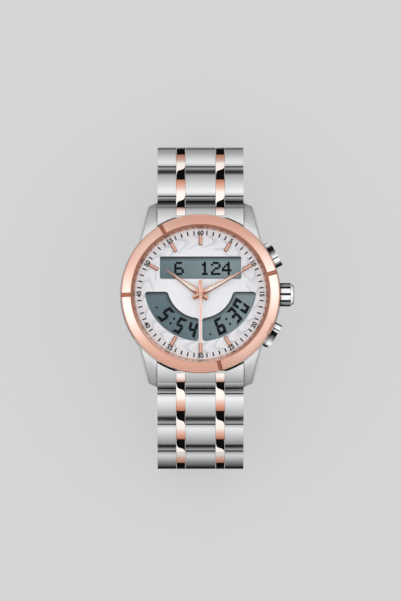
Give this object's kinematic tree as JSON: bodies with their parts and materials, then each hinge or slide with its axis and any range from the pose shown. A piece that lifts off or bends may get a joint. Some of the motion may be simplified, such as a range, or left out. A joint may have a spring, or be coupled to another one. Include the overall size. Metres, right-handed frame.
{
  "type": "analogue digital wristwatch",
  "caption": "Round analogue and digital wristwatch with a metal bracelet, lying closed on its folding clasp, dial up.",
  "frame": {"origin": "on the flat underside of the clasp cover, straight below the middle of the dial", "axes": "+Z is the way the dial faces, +Y is 12 o'clock, +X is 3 o'clock and the crown"},
  "size_m": [0.0442, 0.0826, 0.034],
  "materials": {
    "steel": "brushed and polished stainless steel",
    "steel_small": "turned stainless steel",
    "rose_gold": "rose gold plated steel",
    "crystal": "flat mineral glass",
    "nylon": "white nylon",
    "rubber_seal": "black rubber",
    "dial_white": "pearl white lacquer on brass",
    "lcd": "grey-green liquid crystal display",
    "movement_plastic": "moulded plastic",
    "movement_metal": "nickel plated brass",
    "board": "green circuit board",
    "battery_steel": "nickel plated steel can",
    "copper": "enamelled copper wire",
    "brass_disc": "brass disc with ceramic layer"
  },
  "bodies": {
    "head": {"mid_case": "steel", "case_tubes": "steel", "bezel": "rose_gold", "crystal": "crystal", "crystal_gasket": "nylon", "rehaut_ring": "rose_gold", "case_back_gasket": "rubber_seal", "case_back": "steel", "case_back_screws": "steel_small", "spring_bars": "steel_small", "end_links": "steel", "end_link_accents": "rose_gold", "dial": "dial_white", "lcd_panel": "lcd", "hour_markers": "rose_gold", "movement_ring": "movement_plastic", "movement_plate": "movement_metal", "circuit_board": "board", "battery": "battery_steel", "motor_coil": "copper", "piezo_sounder": "brass_disc"},
    "hour_hand": {"hour_hand": "rose_gold"},
    "minute_hand": {"minute_hand": "rose_gold"},
    "second_hand": {"second_hand": "rose_gold"},
    "setting_lever": {"setting_lever": "steel_small"},
    "crown": {"crown": "steel", "winding_stem": "steel_small"},
    "pusher_upper": {"pusher_upper": "steel"},
    "pusher_lower": {"pusher_lower": "steel"},
    "row_12_1": {"row_12_1": "steel", "accent_12_1": "rose_gold"},
    "row_12_2": {"row_12_2": "steel", "accent_12_2": "rose_gold"},
    "row_12_3": {"row_12_3": "steel", "accent_12_3": "rose_gold"},
    "row_12_4": {"row_12_4": "steel", "accent_12_4": "rose_gold"},
    "row_12_5": {"row_12_5": "steel", "accent_12_5": "rose_gold"},
    "row_12_6": {"row_12_6": "steel", "accent_12_6": "rose_gold"},
    "row_6_1": {"row_6_1": "steel", "accent_6_1": "rose_gold"},
    "row_6_2": {"row_6_2": "steel", "accent_6_2": "rose_gold"},
    "row_6_3": {"row_6_3": "steel", "accent_6_3": "rose_gold"},
    "row_6_4": {"row_6_4": "steel", "accent_6_4": "rose_gold"},
    "row_6_5": {"row_6_5": "steel", "accent_6_5": "rose_gold"},
    "row_6_6": {"row_6_6": "steel", "accent_6_6": "rose_gold"},
    "inner_blade": {"clasp_inner_blade": "steel"},
    "middle_blade": {"clasp_middle_blade": "steel", "clasp_pins": "steel_small"},
    "cover": {"clasp_cover": "steel"},
    "button_right": {"clasp_button_right": "steel"},
    "button_left": {"clasp_button_left": "steel"}
  },
  "joints": [
    {"name": "second_hand_turn", "type": "hinge", "parent": "head", "child": "second_hand", "pos_m": [0, 0, 0.03173], "axis": [0, 0, -1], "continuous": true},
    {"name": "minute_hand_turn", "type": "hinge", "parent": "head", "child": "minute_hand", "pos_m": [0, 0, 0.03133], "axis": [0, 0, -1], "continuous": true},
    {"name": "hour_hand_turn", "type": "hinge", "parent": "head", "child": "hour_hand", "pos_m": [0, 0, 0.03083], "axis": [0, 0, -1], "continuous": true},
    {"name": "crown_pull", "type": "slide", "parent": "head", "child": "setting_lever", "axis": [1, 0, 0], "range_m": [0, 0.0012]},
    {"name": "crown_turn", "type": "hinge", "parent": "setting_lever", "child": "crown", "pos_m": [0.02, 0, 0.02743], "axis": [1, 0, 0], "continuous": true},
    {"name": "pusher_upper_press", "type": "slide", "parent": "head", "child": "pusher_upper", "axis": [-0.8763, -0.4818, 0], "range_m": [0, 0.00075], "stiffness_N_per_m": 400, "springref_m": -0.0005},
    {"name": "pusher_lower_press", "type": "slide", "parent": "head", "child": "pusher_lower", "axis": [-0.8686, 0.4955, 0], "range_m": [0, 0.00075], "stiffness_N_per_m": 400, "springref_m": -0.0005},
    {"name": "row_12_1_hinge", "type": "hinge", "parent": "head", "child": "row_12_1", "pos_m": [0, 0.0226, 0.02653], "axis": [1, 0, 0], "range_deg": [0, 26]},
    {"name": "row_12_2_hinge", "type": "hinge", "parent": "row_12_1", "child": "row_12_2", "pos_m": [0, 0.03029, 0.02432], "axis": [1, 0, 0], "range_deg": [0, 32]},
    {"name": "row_12_3_hinge", "type": "hinge", "parent": "row_12_2", "child": "row_12_3", "pos_m": [0, 0.03659, 0.0194], "axis": [1, 0, 0], "range_deg": [0, 58]},
    {"name": "row_12_4_hinge", "type": "hinge", "parent": "row_12_3", "child": "row_12_4", "pos_m": [0, 0.03715, 0.01142], "axis": [1, 0, 0], "range_deg": [0, 48]},
    {"name": "row_12_5_hinge", "type": "hinge", "parent": "row_12_4", "child": "row_12_5", "pos_m": [0, 0.03268, 0.00479], "axis": [1, 0, 0], "range_deg": [0, 44.9]},
    {"name": "row_12_6_hinge", "type": "hinge", "parent": "row_12_5", "child": "row_12_6", "pos_m": [0, 0.02522, 0.0019], "axis": [1, 0, 0], "range_deg": [0, 31.1]},
    {"name": "row_6_1_hinge", "type": "hinge", "parent": "head", "child": "row_6_1", "pos_m": [0, -0.0226, 0.02653], "axis": [-1, 0, 0], "range_deg": [0, 28]},
    {"name": "row_6_2_hinge", "type": "hinge", "parent": "row_6_1", "child": "row_6_2", "pos_m": [0, -0.03021, 0.02406], "axis": [-1, 0, 0], "range_deg": [0, 24]},
    {"name": "row_6_3_hinge", "type": "hinge", "parent": "row_6_2", "child": "row_6_3", "pos_m": [0, -0.03699, 0.01982], "axis": [-1, 0, 0], "range_deg": [0, 24]},
    {"name": "row_6_4_hinge", "type": "hinge", "parent": "row_6_3", "child": "row_6_4", "pos_m": [0, -0.04255, 0.01406], "axis": [-1, 0, 0], "range_deg": [0, 62]},
    {"name": "row_6_5_hinge", "type": "hinge", "parent": "row_6_4", "child": "row_6_5", "pos_m": [0, -0.04144, 0.00614], "axis": [-1, 0, 0], "range_deg": [0, 60]},
    {"name": "row_6_6_hinge", "type": "hinge", "parent": "row_6_5", "child": "row_6_6", "pos_m": [0, -0.03465, 0.0019], "axis": [-1, 0, 0], "range_deg": [0, 42]},
    {"name": "inner_blade_hinge", "type": "hinge", "parent": "row_12_6", "child": "inner_blade", "pos_m": [0, 0.01722, 0.0019], "axis": [1, 0, 0], "range_deg": [0, 35]},
    {"name": "middle_blade_hinge", "type": "hinge", "parent": "inner_blade", "child": "middle_blade", "pos_m": [0, -0.0218, 0.0023], "axis": [-1, 0, 0], "range_deg": [0, 135]},
    {"name": "cover_hinge", "type": "hinge", "parent": "middle_blade", "child": "cover", "pos_m": [0, 0.01322, 0.00165], "axis": [1, 0, 0], "range_deg": [0, 135]},
    {"name": "button_right_press", "type": "slide", "parent": "cover", "child": "button_right", "axis": [-1, 0, 0], "range_m": [0, 0.0004], "stiffness_N_per_m": 500, "springref_m": -0.0003},
    {"name": "button_left_press", "type": "slide", "parent": "cover", "child": "button_left", "axis": [1, 0, 0], "range_m": [0, 0.0004], "stiffness_N_per_m": 500, "springref_m": -0.0003}
  ],
  "couplings": [
    {"joint": "minute_hand_turn", "follows": "second_hand_turn", "ratio": 0.016667},
    {"joint": "hour_hand_turn", "follows": "second_hand_turn", "ratio": 0.0013889},
    {"joint": "cover_hinge", "follows": "middle_blade_hinge", "ratio": 1}
  ]
}
